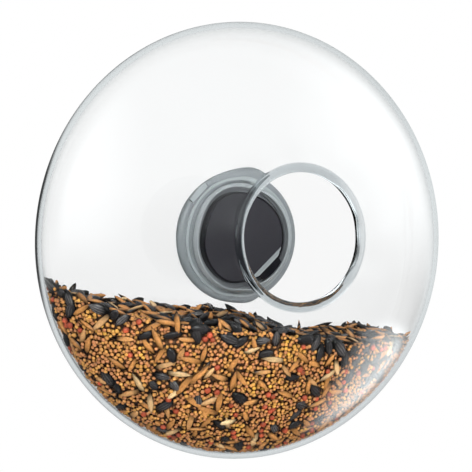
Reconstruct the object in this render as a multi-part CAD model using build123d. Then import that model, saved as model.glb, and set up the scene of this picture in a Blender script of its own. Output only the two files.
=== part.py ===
from build123d import *
import math
import os

os.makedirs("parts", exist_ok=True)

# Window bird feeder: a blown glass globe with a round mouth, hung on a twist-lock suction cup.
# Millimetres. The pane is the plane y = 0 and the feeder stands in front of it, towards -Y.
# +X is to the right as the feeder is looked at, +Z is up, and the origin is the centre of the
# cup's sealing face. A depth is a distance from the pane, so a point at depth d has y = -d.
# At rest the cup is locked: its middle is drawn off the pane.

# Globe
globe_radius = 130.0
globe_wall = 3.2
globe_back_depth = 6.5
shoulder_width = 12.0
shoulder_depth = 20.0
dome_depth = 61.7
globe_drop = 1.9
hub_gap = 0.25
hub_bead_radius = 1.7
mouth_radius = 34.9
mouth_bead_radius = 2.6
mouth_rise = 2.4

# Seed
seed_gap = 0.3
seed_level_share = 0.3615
seed_fall_right_deg = 11.0
seed_fall_front_deg = 5.0
husk_layer_depth = 8.0
loose_seed_spacing = 16.0
loose_seed_length = 11.5
loose_seed_width = 6.2
loose_seed_thickness = 3.4
loose_seed_proud = 2.2
loose_seed_shoulder_share = 0.35
loose_seed_taper_deg = 35.0
loose_seed_turn_deg = 137.5

# Suction cup
cup_overhang = 8.7
cup_rim_thickness = 1.6
cup_edge_bevel = 0.8
cup_hollow_radius = 22.0
cup_boss_radius = 9.0
cup_web_thickness = 1.6
boss_skin = 1.0
boss_cap = 1.2
tab_angle_deg = 135.0
tab_width = 15.0
tab_length = 4.0
tab_proud = 0.5

# Stud and what draws it
draw_stroke = 1.6
stud_radius = 4.0
stud_head_radius = 6.0
stud_head_thickness = 1.0
stud_flat_share = 0.8
stud_tip = 0.3
clip_radius = 6.4
clip_thickness = 0.6
clip_groove_depth = 0.8
clip_mouth_width = 5.6
guide_flange_radius = 7.4
guide_flange_thickness = 0.5
guide_wall = 1.6
washer_inner_radius = 8.2
washer_outer_radius = 13.0
washer_thickness = 0.5
nut_flange_radius = 11.6
nut_flange_thickness = 1.0
nut_wall = 2.5
screw_count = 3
screw_circle_radius = 9.2
screw_shank_radius = 0.9
screw_head_radius = 1.6
screw_head_height = 1.1
screw_slot_width = 0.5
screw_slot_depth = 0.4
screw_tip_short = 0.2

# Housing
plate_thickness = 1.6
plate_front_depth = 5.0
skirt_width = 3.5
floor_thickness = 2.0
neck_wall = 1.2
knob_groove_width = 3.1
rib_count = 6
rib_width = 1.6
rib_gap = 0.4
housing_edge_radius = 3.0
notch_gap = 0.5

# Sleeve and gasket
sleeve_wall = 0.8
lip_proud = 0.9
lip_land = 0.6
lip_height = 4.0
lip_step = 0.5
lip_edge_width = 0.9
lip_set_back = 0.6
gasket_inset = 2.1
gasket_width = 2.0
gasket_thickness = 1.2
gasket_edge_radius = 0.4

# Knob
knob_radius = 26.9
knob_floor_thickness = 1.4
knob_wall = 2.2
knob_rim_width = 1.2
knob_edge_radius = 0.4
cap_thickness = 1.3
cap_edge_radius = 0.2
cap_ledge = 1.4
thumb_tab_thickness = 1.5
thumb_tab_width = 17.0
thumb_angle_deg = -48.0
cap_flat_inset = 5.9
strip_width = 2.8
strip_gap = 0.3
strip_groove_width = 0.7
strip_groove_depth = 0.4
stop_lug_width = 2.0
stop_lug_arc_deg = 8.0
stop_lug_inset = 6.9
knob_turn_deg = 180.0

# Clearances
gap = 0.3
neck_gap = 0.4
running = 0.05
thrust = 0.1
fixed = 0.05
overrun = 2.0
quarter_turn_deg = 90.0

# Worked out from the sizes above
widest_depth = globe_back_depth + shoulder_depth
shoulder_start = globe_radius - shoulder_width
head_back = draw_stroke + boss_skin
head_front = head_back + stud_head_thickness
boss_front = head_front + boss_cap
floor_back = boss_front + gap
floor_front = floor_back + floor_thickness
plate_back = plate_front_depth - plate_thickness
washer_front = floor_front + washer_thickness
knob_back = washer_front + thrust
knob_floor_front = knob_back + knob_floor_thickness
nut_front = knob_floor_front + nut_flange_thickness
clip_back = nut_front + draw_stroke + gap
clip_front = clip_back + clip_thickness
stud_front = clip_front + stud_tip
cap_back = stud_front + gap
cap_front = cap_back + cap_thickness
neck_inner_radius = knob_radius + knob_groove_width
neck_outer_radius = neck_inner_radius + neck_wall
sleeve_radius = neck_outer_radius + fixed + sleeve_wall
lip_radius = sleeve_radius + lip_proud
lip_front = cap_front - lip_set_back
neck_front = lip_front - lip_height
lip_inner_radius = neck_inner_radius + lip_step
hub_hole_radius = sleeve_radius + hub_gap
bead_front = globe_back_depth + globe_wall / 2 + hub_bead_radius
gasket_inner_radius = hub_hole_radius + gasket_inset
cup_radius = hub_hole_radius + cup_overhang
thumb_tab_reach = neck_inner_radius - neck_gap
thumb_tab_back = cap_front - thumb_tab_thickness
cap_seat_radius = knob_radius - knob_rim_width
cap_radius = cap_seat_radius - fixed
cap_flat_distance = knob_radius - cap_flat_inset
strip_start = cap_flat_distance + strip_gap
strip_end = strip_start + strip_width
stop_radius = knob_radius - stop_lug_inset
groove_radius = stud_radius - clip_groove_depth
flat_front = knob_back + draw_stroke
seed_level = -globe_radius * seed_level_share


def turned(*outline):
    """A solid turned about the hub axis from points given as (radius, depth)."""
    points = [(radius, -depth) for radius, depth in outline]
    return revolve(make_face(Polyline(*points, close=True)), axis=Axis.Y)


def ring(inner, outer, back, front):
    """A plain turned ring or, where the inner radius is zero, a disc."""
    return turned((inner, back), (outer, back), (outer, front), (inner, front))


def facing(radius_from, radius_to, width, back, front, angle_deg):
    """A block that runs outwards along one radius of the hub, between two depths."""
    block = Box(radius_to - radius_from, front - back, width)
    middle = Pos((radius_from + radius_to) / 2, -(back + front) / 2, 0)
    return Rot(0, -angle_deg, 0) * middle * block


def sector(inner, outer, back, front, start_deg, arc_deg):
    """A slice of a ring, turned from one angle through an arc, anticlockwise as it is looked at."""
    points = [(inner, -back), (outer, -back), (outer, -front), (inner, -front)]
    face = make_face(Polyline(*points, close=True))
    return Rot(0, -start_deg, 0) * revolve(face, axis=-Axis.Y, revolution_arc=arc_deg)


def keep(shape, node):
    """Writes one node."""
    export_step(shape, f"parts/{node}.step")


def blown_body(inset):
    """The globe's closed outline turned about its own axis, with every face moved in by the inset."""
    radius = globe_radius - inset
    back = globe_back_depth + inset
    front = widest_depth + dome_depth - inset
    shoulder = EllipticalCenterArc(
        (shoulder_start, -widest_depth), radius - shoulder_start, widest_depth - back,
        arc_size=quarter_turn_deg,
    )
    dome = EllipticalCenterArc(
        (0, -widest_depth), radius, dome_depth - inset, arc_size=-quarter_turn_deg
    )
    flat = Line((0, -back), (shoulder_start, -back))
    axis_line = Line((0, -front), (0, -back))
    outline = make_face([flat, shoulder, dome, axis_line])
    return Pos(0, 0, -globe_drop) * revolve(outline, axis=Axis.Y)


def bead(ring_radius, bead_radius):
    """A fire-polished rim, lying across the hub axis."""
    return Rot(90, 0, 0) * Torus(ring_radius, bead_radius)


def through_cut(radius, length):
    """A round cutter along the hub axis."""
    return Rot(90, 0, 0) * Cylinder(radius, length)


def dome_middle(height):
    """Depth of the middle of the dome's wall on the upright centre line, at a height over the hub."""
    share = (height + globe_drop) / (globe_radius - globe_wall / 2)
    return widest_depth + (dome_depth - globe_wall / 2) * math.sqrt(1 - share**2)


def glass_globe():
    """The blown shell, with a beaded hole at the back for the hub and a beaded mouth in front."""
    shell = blown_body(0) - blown_body(globe_wall)
    hub_circle = hub_hole_radius + hub_bead_radius
    hub_place = Pos(0, -(globe_back_depth + globe_wall / 2), 0)
    shell -= hub_place * through_cut(hub_circle, globe_wall + 2 * overrun)
    shell += hub_place * bead(hub_circle, hub_bead_radius)
    mouth_circle = mouth_radius + mouth_bead_radius
    upper = dome_middle(mouth_rise + mouth_circle)
    lower = dome_middle(mouth_rise - mouth_circle)
    lean_deg = math.degrees(math.atan2(lower - upper, 2 * mouth_circle))
    mouth_place = Pos(0, -(upper + lower) / 2, mouth_rise) * Rot(-lean_deg, 0, 0)
    shell -= mouth_place * through_cut(mouth_circle, dome_depth / 2)
    shell += mouth_place * bead(mouth_circle, mouth_bead_radius)
    return shell


def loose_seed():
    """A plump seed along X with few faces: a long six-sided outline that narrows to its flat back and front."""
    tip = loose_seed_length / 2
    shoulder = tip * loose_seed_shoulder_share
    side = loose_seed_width / 2
    outline = [(-tip, 0), (-shoulder, -side), (shoulder, -side), (tip, 0), (shoulder, side), (-shoulder, side)]
    face = make_face(Polyline(*outline, close=True))
    return extrude(face, loose_seed_thickness / 2, both=True, taper=loose_seed_taper_deg)


def inside_rows():
    """Rows round the globe's axis, one spacing apart, against the glass: distance, depth and outward normal."""
    inset = globe_wall + 2 * seed_gap + loose_seed_thickness / 2
    across, deep = globe_radius - inset, dome_depth - inset
    rows = []
    distance = shoulder_start - loose_seed_length / 2
    while distance > loose_seed_spacing:
        rows.append((distance, globe_back_depth + inset, 0, -1))
        distance -= loose_seed_spacing
    bend = loose_seed_spacing / deep
    while bend < math.radians(quarter_turn_deg):
        sine, cosine = math.sin(bend), math.cos(bend)
        rows.append((across * cosine, widest_depth + deep * sine, cosine / across, sine / deep))
        bend += loose_seed_spacing / math.hypot(across * sine, deep * cosine)
    return rows


def heap_top(x, depth):
    """Height of the heap's sloping top."""
    fall = x * math.tan(math.radians(seed_fall_right_deg))
    return seed_level - fall - (depth - widest_depth) * math.tan(math.radians(seed_fall_front_deg))


def seeds_against_glass():
    """The main seeds that lie flat against the glass, each turned on by a fixed angle from the last."""
    seed = loose_seed()
    seeds = []
    for distance, depth, outward, forward in inside_rows():
        count = int(2 * math.pi * distance / loose_seed_spacing)
        for number in range(count):
            angle = 2 * math.pi * number / count
            x = distance * math.cos(angle)
            z = distance * math.sin(angle) - globe_drop
            if z < heap_top(x, depth) - husk_layer_depth - loose_seed_length:
                normal = Vector(outward * math.cos(angle), -forward, outward * math.sin(angle))
                round_ring = Vector(-math.sin(angle), 0, math.cos(angle))
                place = Plane(origin=(x, -depth, z), x_dir=round_ring, z_dir=normal)
                seeds.append(place.location * Rot(0, 0, len(seeds) * loose_seed_turn_deg) * seed)
    return seeds


def seeds_on_top():
    """The main seeds that lie on the heap's top, in staggered rows inside the glass."""
    seed = loose_seed()
    seeds = []
    inset = globe_wall + seed_gap + loose_seed_proud + loose_seed_length / 2
    columns = int(globe_radius / loose_seed_spacing)
    rows = int((widest_depth + dome_depth - globe_back_depth) / loose_seed_spacing)
    for row in range(rows):
        depth = globe_back_depth + inset + row * loose_seed_spacing
        for column in range(-columns, columns):
            x = (column + (row % 2) / 2) * loose_seed_spacing
            z = heap_top(x, depth)
            reach = math.hypot(x, z + globe_drop) / (globe_radius - inset)
            front = max(0, depth - widest_depth) / (dome_depth - inset)
            if reach**2 + front**2 < 1:
                slope = Rot(seed_fall_front_deg, seed_fall_right_deg, len(seeds) * loose_seed_turn_deg)
                seeds.append(Pos(x, -depth, z) * slope * seed)
    return seeds


def seed_slab(top, thickness):
    """A slope-topped slice of the packed seed, its top lowered by a distance from the heap's top."""
    span = 2 * globe_radius
    block = Pos(0, 0, -top) * Box(span, span, thickness, align=(Align.CENTER, Align.CENTER, Align.MAX))
    slope = Rot(seed_fall_front_deg, seed_fall_right_deg, 0)
    packed = blown_body(globe_wall + seed_gap + loose_seed_proud)
    return packed & (Pos(0, -widest_depth, seed_level) * slope * block)


def suction_cup():
    """Silicone cup: flat sealing ring, hollow middle, a boss round the stud's head and a release tab."""
    web_start = cup_hollow_radius + cup_web_thickness
    cup = turned(
        (0, draw_stroke),
        (cup_boss_radius, draw_stroke),
        (cup_hollow_radius, 0),
        (cup_radius - cup_edge_bevel, 0),
        (cup_radius, cup_edge_bevel),
        (cup_radius, cup_rim_thickness),
        (web_start, cup_rim_thickness),
        (cup_boss_radius + fixed, draw_stroke + cup_web_thickness),
        (cup_boss_radius, boss_front),
        (0, boss_front),
    )
    cup -= ring(0, stud_head_radius + fixed, head_back - fixed, head_front + fixed)
    cup -= ring(0, stud_radius + fixed, head_front, boss_front + overrun)
    tab_start = cup_radius - tab_length
    tab = facing(
        tab_start, cup_radius, tab_width, cup_rim_thickness, plate_front_depth + tab_proud, tab_angle_deg
    )
    return cup + (tab & ring(0, cup_radius, 0, plate_front_depth + overrun))


def draw_stud():
    """Stud with a flat head moulded in the cup, a threaded shank at its crest size and a clip groove."""
    stud = ring(0, stud_head_radius, head_back, head_front)
    stud += ring(0, stud_radius, head_front, stud_front)
    side = stud_radius * stud_flat_share
    for sign in (-1, 1):
        flat = Box(stud_radius, flat_front - head_front, 2 * stud_radius)
        stud -= Pos(sign * (side + stud_radius / 2), -(head_front + flat_front) / 2, 0) * flat
    stud -= ring(groove_radius, stud_radius + overrun, clip_back - fixed, clip_front + fixed)
    return stud


def end_clip():
    """Open retaining clip in the stud's groove, its mouth upwards."""
    clip = ring(groove_radius + fixed, clip_radius, clip_back, clip_front)
    clip -= facing(0, clip_radius + overrun, clip_mouth_width, clip_back - overrun, clip_front + overrun, 90)
    return clip


def stud_guide():
    """Flanged bush in the housing's floor, with two flats that keep the stud from turning."""
    sleeve_outer = stud_radius + guide_wall
    guide = ring(0, sleeve_outer, floor_back, floor_front)
    guide += ring(0, guide_flange_radius, floor_front, floor_front + guide_flange_thickness)
    length = floor_thickness + guide_flange_thickness + 2 * overrun
    bore = through_cut(stud_radius + running, length)
    bore &= Box(2 * (stud_radius * stud_flat_share + running), length, 4 * stud_radius)
    return guide - Pos(0, -(floor_back + floor_front) / 2, 0) * bore


def mount_housing():
    """Rigid dish: a skirt on the cup's rim, a ribbed plate, the neck and the floor that takes the thrust."""
    housing = ring(cup_radius - skirt_width, cup_radius, cup_rim_thickness, plate_front_depth)
    housing += ring(neck_inner_radius, cup_radius, plate_back, plate_front_depth)
    housing += ring(neck_inner_radius, neck_outer_radius, plate_back, neck_front)
    housing += ring(stud_radius + guide_wall + fixed, neck_outer_radius, floor_back, floor_front)
    for number in range(rib_count):
        angle = number * 360 / rib_count
        housing += facing(
            neck_inner_radius, cup_radius - skirt_width / 2, rib_width,
            cup_rim_thickness + rib_gap, plate_back, angle,
        )
    outer_edge = housing.edges().filter_by(GeomType.CIRCLE).filter_by(
        lambda edge: abs(edge.radius - cup_radius) < fixed and abs(edge.center().Y + plate_front_depth) < fixed
    )
    housing = fillet(outer_edge, housing_edge_radius)
    notch_start = cup_radius - tab_length - notch_gap
    housing -= facing(
        notch_start, cup_radius + overrun, tab_width + 2 * notch_gap,
        0, plate_front_depth + overrun, tab_angle_deg,
    )
    groove_inner = stop_radius - stop_lug_width / 2 - gap
    groove_outer = stop_radius + stop_lug_width / 2 + gap
    spare_deg = math.degrees(gap / groove_inner)
    housing -= sector(
        groove_inner, groove_outer, (floor_back + floor_front) / 2 - gap, floor_front + overrun,
        -spare_deg, knob_turn_deg + stop_lug_arc_deg + 2 * spare_deg,
    )
    return housing


def hub_sleeve():
    """Soft sleeve on the neck. Its front swells to a lip that the globe's hub hole snaps over."""
    inner = neck_outer_radius + fixed
    swell_start = bead_front + gap
    swell_end = swell_start + lip_proud
    return turned(
        (inner, plate_front_depth),
        (sleeve_radius, plate_front_depth),
        (sleeve_radius, swell_start),
        (lip_radius, swell_end),
        (lip_radius, swell_end + lip_land),
        (lip_inner_radius + lip_edge_width, lip_front),
        (lip_inner_radius, lip_front),
        (lip_inner_radius, neck_front + fixed),
        (inner, neck_front + fixed),
    )


def seat_gasket():
    """Flat soft ring with a rounded front that the globe's back bears on."""
    outer = gasket_inner_radius + gasket_width
    gasket = ring(gasket_inner_radius, outer, plate_front_depth, plate_front_depth + gasket_thickness)
    front_edges = gasket.edges().filter_by(
        lambda edge: abs(edge.center().Y + plate_front_depth + gasket_thickness) < fixed
    )
    return fillet(front_edges, gasket_edge_radius)


def thumb_side(distance_from, distance_to, back, front):
    """All of the knob's face between two distances from the axis, measured towards the thumb tab."""
    return facing(distance_from, distance_to, 4 * knob_radius, back, front, thumb_angle_deg)


def knob_body():
    """Cup-shaped knob with a ledge for its cover, a thumb tab over the groove and a stop lug at the back."""
    bore = stud_radius + nut_wall + fixed
    knob = ring(bore, knob_radius, knob_back, knob_floor_front)
    knob += ring(knob_radius - knob_wall, knob_radius, knob_back, cap_back)
    knob += ring(cap_seat_radius, knob_radius, cap_back, cap_front)
    tab = facing(
        cap_seat_radius, thumb_tab_reach + overrun, thumb_tab_width, thumb_tab_back, cap_front, thumb_angle_deg
    )
    knob += tab & ring(0, thumb_tab_reach, thumb_tab_back, cap_front)
    shelf = thumb_side(cap_flat_distance - cap_ledge, 2 * knob_radius, thumb_tab_back - cap_ledge, cap_back)
    knob += shelf & ring(0, knob_radius - knob_wall / 2, knob_floor_front, cap_back)
    crescent = thumb_side(strip_end + fixed, 2 * knob_radius, cap_back, cap_front)
    knob += crescent & ring(0, knob_radius, cap_back, cap_front)
    seat = thumb_side(-2 * knob_radius, strip_end + fixed, cap_back, cap_front + overrun)
    knob -= seat & ring(0, cap_seat_radius, cap_back, cap_front + overrun)
    lug_back = (floor_back + floor_front) / 2
    lug_inner = stop_radius - stop_lug_width / 2
    lug_outer = stop_radius + stop_lug_width / 2
    knob += sector(lug_inner, lug_outer, lug_back, knob_floor_front, 0, stop_lug_arc_deg)
    for number in range(screw_count):
        knob -= screw_place(number) * through_cut(screw_shank_radius + fixed, 4 * cap_front)
    outer_edges = knob.edges().filter_by(
        lambda edge: abs((edge @ 0.5).Y + cap_front) < fixed
        and math.hypot((edge @ 0.5).X, (edge @ 0.5).Z) > knob_radius - fixed
    )
    return fillet(outer_edges, knob_edge_radius)


def draw_nut():
    """Flanged nut in the knob's floor; its thread is drawn at the stud's crest size plus a clearance."""
    nut = ring(stud_radius + running, stud_radius + nut_wall, knob_back + thrust, nut_front)
    nut += ring(stud_radius + running, nut_flange_radius, knob_floor_front, nut_front)
    for number in range(screw_count):
        nut -= screw_place(number) * through_cut(screw_shank_radius + fixed, 4 * cap_front)
    return nut


def screw_place(number):
    """Where one of the nut's screws stands."""
    angle = math.radians(90 + number * 360 / screw_count)
    return Pos(screw_circle_radius * math.cos(angle), 0, screw_circle_radius * math.sin(angle))


def nut_screws():
    """The nut's small slotted screws, one solid each."""
    screws = []
    for number in range(screw_count):
        screw = ring(0, screw_shank_radius, knob_back + screw_tip_short, nut_front + fixed)
        screw += ring(0, screw_head_radius, nut_front + fixed, nut_front + screw_head_height)
        slot = Box(2 * screw_head_radius, 2 * screw_slot_depth, screw_slot_width)
        screw -= Pos(0, -(nut_front + screw_head_height), 0) * slot
        screws.append(screw_place(number) * screw)
    return Compound(children=screws)


def knob_cap():
    """Cover disc of the knob, bare, with one straight side towards the thumb tab."""
    cap = ring(0, cap_radius, cap_back, cap_front)
    front_edge = cap.edges().filter_by(lambda edge: abs(edge.center().Y + cap_front) < fixed)
    cap = fillet(front_edge, cap_edge_radius)
    return cap - thumb_side(cap_flat_distance, 2 * knob_radius, 0, cap_front + overrun)


def grip_strip():
    """Soft strip between the cover's straight side and the thumb tab, with a groove along it."""
    strip = ring(0, cap_radius, cap_back, cap_front)
    strip &= thumb_side(strip_start, strip_end, 0, cap_front + overrun)
    middle = (strip_start + strip_end) / 2
    half = strip_groove_width / 2
    return strip - thumb_side(middle - half, middle + half, cap_front - strip_groove_depth, cap_front + overrun)


keep(glass_globe(), "glass_globe")
keep(seed_slab(husk_layer_depth, 2 * globe_radius) + seeds_against_glass(), "seed_bed")
keep(seed_slab(0, husk_layer_depth) + seeds_on_top(), "husk_layer")
keep(suction_cup(), "suction_cup")
keep(draw_stud(), "draw_stud")
keep(end_clip(), "end_clip")
keep(stud_guide(), "stud_guide")
keep(ring(washer_inner_radius, washer_outer_radius, floor_front, washer_front), "thrust_washer")
keep(mount_housing(), "mount_housing")
keep(hub_sleeve(), "hub_sleeve")
keep(seat_gasket(), "seat_gasket")
keep(knob_body(), "knob_body")
keep(draw_nut(), "draw_nut")
keep(nut_screws(), "nut_screws")
keep(knob_cap(), "knob_cap")
keep(grip_strip(), "grip_strip")
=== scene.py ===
"""Window bird feeder: a blown glass globe, filled with seed and hung on a twist-lock suction cup."""
import math
from functools import partial

import bpy
import numpy as np
from bpy.props import FloatProperty, FloatVectorProperty, IntProperty, PointerProperty
from bpy.types import Operator, Panel, PropertyGroup
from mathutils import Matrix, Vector


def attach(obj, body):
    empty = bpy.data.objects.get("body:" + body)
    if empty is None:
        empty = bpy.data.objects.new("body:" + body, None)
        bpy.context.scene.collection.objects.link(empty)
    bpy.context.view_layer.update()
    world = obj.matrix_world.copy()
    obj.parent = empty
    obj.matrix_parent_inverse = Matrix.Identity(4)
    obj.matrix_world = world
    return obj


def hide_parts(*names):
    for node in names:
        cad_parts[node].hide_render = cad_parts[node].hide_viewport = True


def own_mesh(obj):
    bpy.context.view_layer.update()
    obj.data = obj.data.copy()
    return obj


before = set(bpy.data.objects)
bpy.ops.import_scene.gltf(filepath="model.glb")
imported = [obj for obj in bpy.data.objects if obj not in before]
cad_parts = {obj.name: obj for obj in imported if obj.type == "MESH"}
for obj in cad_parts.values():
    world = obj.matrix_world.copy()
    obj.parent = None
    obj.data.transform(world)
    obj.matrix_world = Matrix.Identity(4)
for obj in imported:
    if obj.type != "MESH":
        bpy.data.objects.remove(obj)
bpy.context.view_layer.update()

bl_info = {
    "name": "Window bird feeder",
    "version": (1, 0, 0),
    "blender": (4, 5, 0),
    "location": "View3D > Sidebar > Feeder",
    "description": "Dresses the packed window bird feeder with blown glass, loose seed and moulded finishes",
    "category": "Object",
}

MM = 0.001

# Settings

def linear(code):
    """An sRGB hex colour as linear red, green and blue."""
    channels = [int(code[place:place + 2], 16) / 255 for place in (1, 3, 5)]
    return tuple(c / 12.92 if c <= 0.04045 else ((c + 0.055) / 1.055) ** 2.4 for c in channels)


def length(description, millimetres):
    """A length that a user may change, given in millimetres and held in metres."""
    return FloatProperty(description=description, default=millimetres * MM, unit="LENGTH", precision=5)


def angle(description, degrees):
    """An angle that a user may change, given in degrees."""
    return FloatProperty(description=description, default=math.radians(degrees), subtype="ANGLE")


def tint(description, code):
    """A colour that a user may change."""
    return FloatVectorProperty(description=description, subtype="COLOR", size=3, min=0, max=1, default=linear(code))


class GlobeSettings(PropertyGroup):
    """Sizes of the blown globe and the colour of its glass."""

    radius: length("Outside radius of the globe", 129.93)
    wall: length("Thickness of the blown wall", 3.2)
    back_depth: length("From the pane to the flat back", 6.5)
    shoulder_width: length("How far the rounded shoulder comes in", 12.0)
    shoulder_depth: length("How deep the rounded shoulder is", 20.0)
    dome_depth: length("From the widest ring to the front", 61.7)
    drop: length("How far the globe's axis lies under the hub", 1.9)
    hub_circle: length("Radius of the bead's middle round the hub hole", 34.0)
    hub_bead: length("Radius of the hub hole's bead", 1.7)
    mouth_circle: length("Radius of the bead's middle round the mouth", 37.5)
    mouth_bead: length("Radius of the mouth's bead", 2.6)
    mouth_rise: length("Height of the mouth's middle over the hub", 2.4)
    lip_growth: length("How much thicker the wall is near the mouth", 1.2)
    ripple: length("Height of the ripples on the inside near the mouth", 0.3)
    colour: tint("Colour that light takes on along its way in the glass", "#D5E0DE")
    # The bead's grey is painted shade, standing in for the dark surroundings that its thick glass shows
    rim_painted_grey: tint("What the bead round the mouth lets through", "#C8CED1")
    density: FloatProperty(description="How strongly the glass takes up light, per metre", default=9.0)


class CupSettings(PropertyGroup):
    """Sizes of the soft suction cup, drawn off the pane in its middle."""

    radius: length("Outside radius of the sealing ring", 41.0)
    rim: length("Thickness of the sealing ring", 1.6)
    bevel: length("Bevel at the ring's edge", 0.8)
    hollow: length("Radius of the hollow middle", 22.0)
    web: length("Thickness of the web round the boss", 1.6)
    draw: length("How far the boss is drawn off the pane", 1.6)
    boss: length("Radius of the boss", 9.0)
    boss_front: length("Depth of the boss's front", 4.8)
    head: length("Radius of the pocket round the stud's head", 6.05)
    head_back: length("Depth of the pocket's back", 2.55)
    head_front: length("Depth of the pocket's front", 3.65)
    bore: length("Radius of the hole for the stud", 4.05)
    tab_angle: angle("Where the release tab stands", 135)
    tab_width: length("Width of the release tab", 15.0)
    tab_length: length("How far the release tab comes in", 4.0)
    tab_front: length("Depth of the release tab's front", 5.5)


class SeedSettings(PropertyGroup):
    """Sizes and colours of the seed."""

    level: length("Height of the heap on the hub's upright, at the widest depth", -47.0)
    fall_right: angle("Slope of the heap to the right", 11)
    fall_front: angle("Slope of the heap to the front", 5)
    gap: length("Least space between seed and glass", 0.12)
    millet: length("Diameter of a millet grain", 2.5)
    sorghum: length("Diameter of a sorghum grain", 4.0)
    oat: length("Length of an oat", 15.0)
    sunflower: length("Length of a sunflower seed", 13.0)
    seed: IntProperty(description="Start of the random placing", default=11)
    millet_tan: tint("Most of the millet", "#BA7C50")
    millet_yellow: tint("The rest of the millet", "#DCA846")
    oat_hull: tint("Hull of the oats", "#BE8348")
    sorghum_bran: tint("Skin of the sorghum grains", "#9C452D")
    sunflower_hull: tint("Hull of the sunflower seeds", "#232122")
    husk: tint("Loose empty hulls", "#DDBF90")


class FinishSettings(PropertyGroup):
    """Colours of the moulded and turned parts."""

    cup: tint("Silicone of the cup and the gasket", "#A0A5A8")
    lip: tint("Silicone of the sleeve and of the strip", "#989EA1")
    housing: tint("Satin plastic of the housing", "#7C8084")
    cover: tint("Fine-textured plastic of the knob's cover", "#28272D")
    knob: tint("Polished plastic of the knob's body", "#0F0E14")
    acetal: tint("Natural acetal of the bush and washer", "#E6E4DC")
    steel: tint("Turned stainless steel", "#C9C9CB")
    brass: tint("Turned brass", "#D2AE66")


class StageSettings(PropertyGroup):
    """Camera, floor and light."""

    azimuth: angle("Camera's angle from straight in front, to the left", 25.2)
    elevation: angle("Camera's angle over the hub", 2.0)
    distance: length("From the hub to the camera", 500)
    focal_share: FloatProperty(description="Focal length over the frame's width", default=790 / 472)
    floor: length("Height of the floor", -400)


# Shader nodes. In a Mix node, input 0 is the share, and it mixes inputs 2 and 3, or for colours 6 and 7; the mixed
# colour is output 2

SMOOTH = {"interpolation_type": "SMOOTHSTEP"}


def node(tree, kind, inputs=(), **settings):
    """Adds one shader node with its settings, and fills or links its inputs, given in order or by name.

    A node that is given as an input is linked by its first output.
    """
    made = tree.nodes.new("ShaderNode" + kind)
    for name, value in settings.items():
        setattr(made, name, value)
    for name, value in inputs.items() if isinstance(inputs, dict) else enumerate(inputs):
        value = value.outputs[0] if isinstance(value, bpy.types.Node) else value
        if isinstance(value, bpy.types.NodeSocket):
            tree.links.new(value, made.inputs[name])
        else:
            made.inputs[name].default_value = value
    return made


def blank(item):
    """Empties the node tree of a material or world, and returns it with the function that adds nodes to it."""
    item.use_nodes = True
    item.node_tree.nodes.clear()
    return item, partial(node, item.node_tree)


# Meshes

def surface_mesh(name, skin, points, quads, triangles=None, marks=None):
    """A smooth mesh from arrays, with its skin's material. Marks are named numbers or vectors, one for each point."""
    triangles = np.empty((0, 3), int) if triangles is None else triangles
    mesh = bpy.data.meshes.new(name)
    mesh.vertices.add(len(points))
    mesh.vertices.foreach_set("co", points.astype(np.float32).ravel())
    corners = np.concatenate([quads.ravel(), triangles.ravel()])
    totals = np.concatenate([np.full(len(quads), 4), np.full(len(triangles), 3)])
    mesh.loops.add(len(corners))
    mesh.loops.foreach_set("vertex_index", corners.astype(np.int32))
    mesh.polygons.add(len(totals))
    mesh.polygons.foreach_set("loop_start", (np.cumsum(totals) - totals).astype(np.int32))
    mesh.update(calc_edges=True)
    mesh.shade_smooth()
    mesh.materials.append(skin)
    for label, values in (marks or {}).items():
        kind, field = ("FLOAT_VECTOR", "vector") if values.ndim == 2 else ("FLOAT", "value")
        mesh.attributes.new(label, kind, "POINT")
        mesh.attributes[label].data.foreach_set(field, values.astype(np.float32).ravel())
    piece = bpy.data.objects.new(name, mesh)
    bpy.context.scene.collection.objects.link(piece)
    return piece


def full_turn(turns):
    """Even angles once round."""
    return np.linspace(0, 2 * math.pi, turns, endpoint=False)


def level_rings(reach, height, turns):
    """Points on level rings, each of its own reach from the upright and at its own height."""
    turn = full_turn(turns)
    reach, height = reach[:, None], height[:, None] + 0 * turn
    return np.stack([reach * np.cos(turn), reach * np.sin(turn), height], axis=-1).reshape(-1, 3)


def unit(ways):
    """Directions brought to a length of one."""
    return ways / np.linalg.norm(ways, axis=-1, keepdims=True)


def ring_faces(rings, turns, closed):
    """Quads between rings of points, each ring closed on itself; the last ring joins the first where closed."""
    last = rings if closed else rings - 1
    ring, turn = np.meshgrid(np.arange(last), np.arange(turns), indexing="ij")
    after, beside = (ring + 1) % rings, (turn + 1) % turns
    corners = [ring * turns + turn, ring * turns + beside, after * turns + beside, after * turns + turn]
    return np.stack(corners, axis=-1).reshape(-1, 4)


def pole_faces(rings, turns):
    """Triangles from the first ring to a pole that follows the last ring's points, and from the last to another."""
    count, place, beside = rings * turns, np.arange(turns), (np.arange(turns) + 1) % turns
    first = np.stack([np.full(turns, count), beside, place], axis=1)
    final = np.stack([np.full(turns, count + 1), count - turns + place, count - turns + beside], axis=1)
    return np.concatenate([first, final])


# Glass globe

# Ripples near the mouth: strength, waves once round, start and twist per metre from the rim
RIPPLES = ((1.0, 3, 1.0, 0), (0.7, 7, 2.0, 120), (0.5, 12, 0, -90))


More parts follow.
